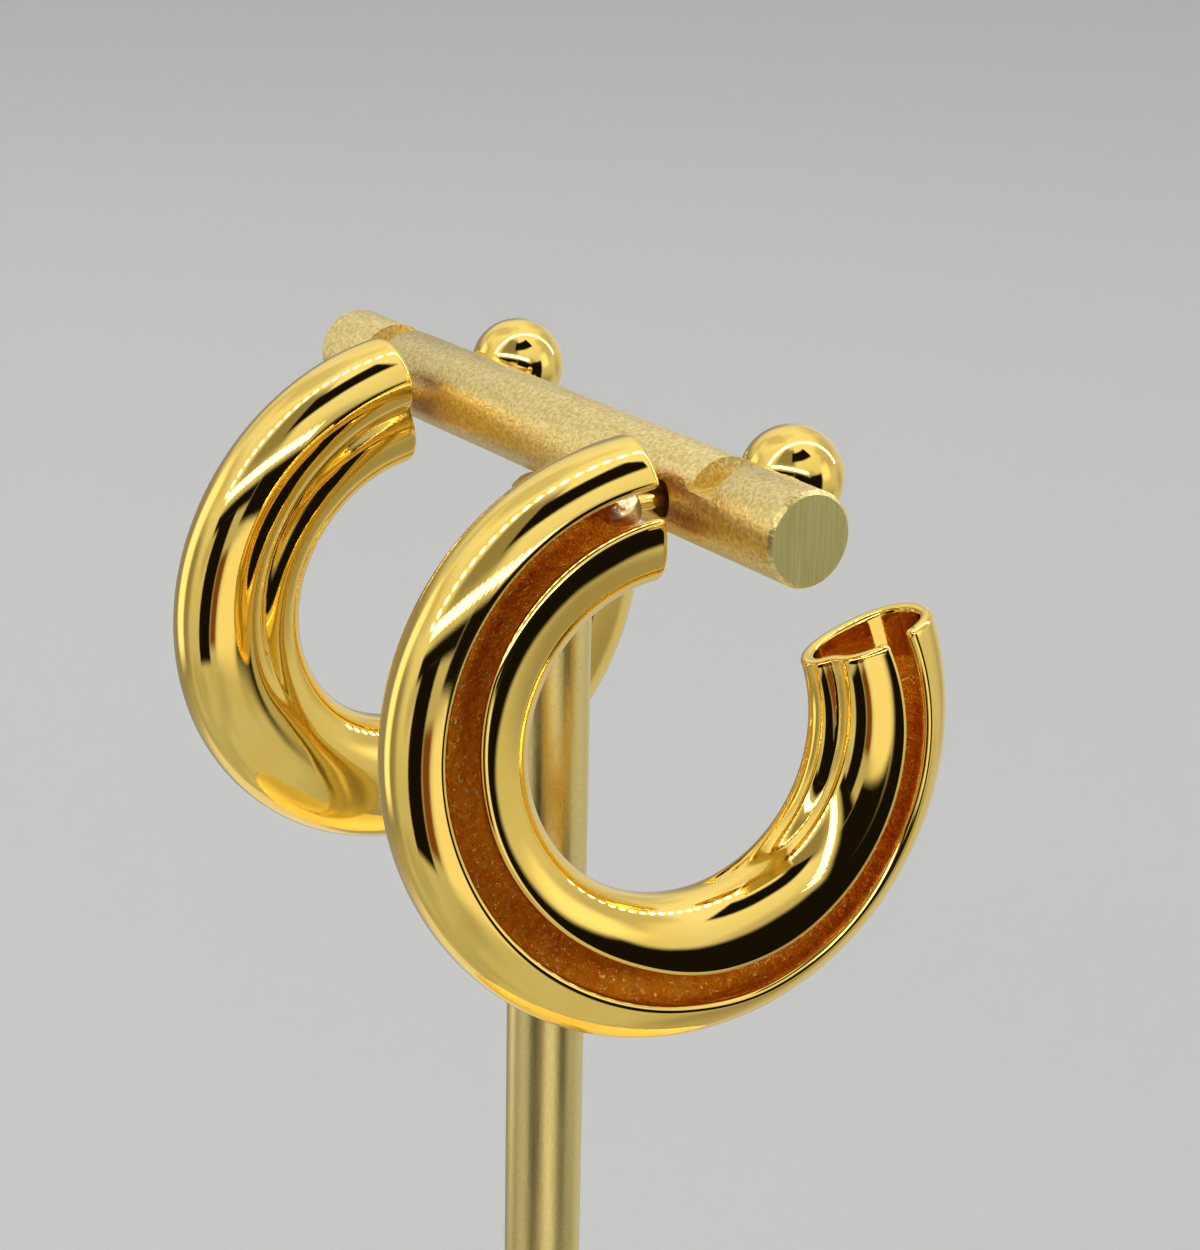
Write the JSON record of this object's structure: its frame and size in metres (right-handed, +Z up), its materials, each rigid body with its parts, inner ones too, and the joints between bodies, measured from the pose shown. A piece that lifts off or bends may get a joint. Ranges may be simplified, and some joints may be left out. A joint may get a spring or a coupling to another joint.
{
  "type": "pair of hoop earrings on a display stand",
  "caption": "Chunky open hoop earrings in polished gold, hollow and slotted at the back with a twisting fold, hung by posts and ball backs on a T-shaped stand.",
  "frame": {"origin": "centre of the base's underside", "axes": "+Z up along the upright, X along the crossbar, the hoops start on its -Y side"},
  "size_m": [0.066, 0.066, 0.1041],
  "materials": {
    "polished_gold": "polished gold plate, rough orange-brown inside the channel",
    "satin_gold": "fine satin pale gold"
  },
  "bodies": {
    "root": {"base": "satin_gold", "upright": "satin_gold", "crossbar": "satin_gold", "hoop_right": "polished_gold", "hoop_left": "polished_gold", "ball_back_right": "polished_gold", "ball_back_left": "polished_gold"}
  },
  "joints": []
}
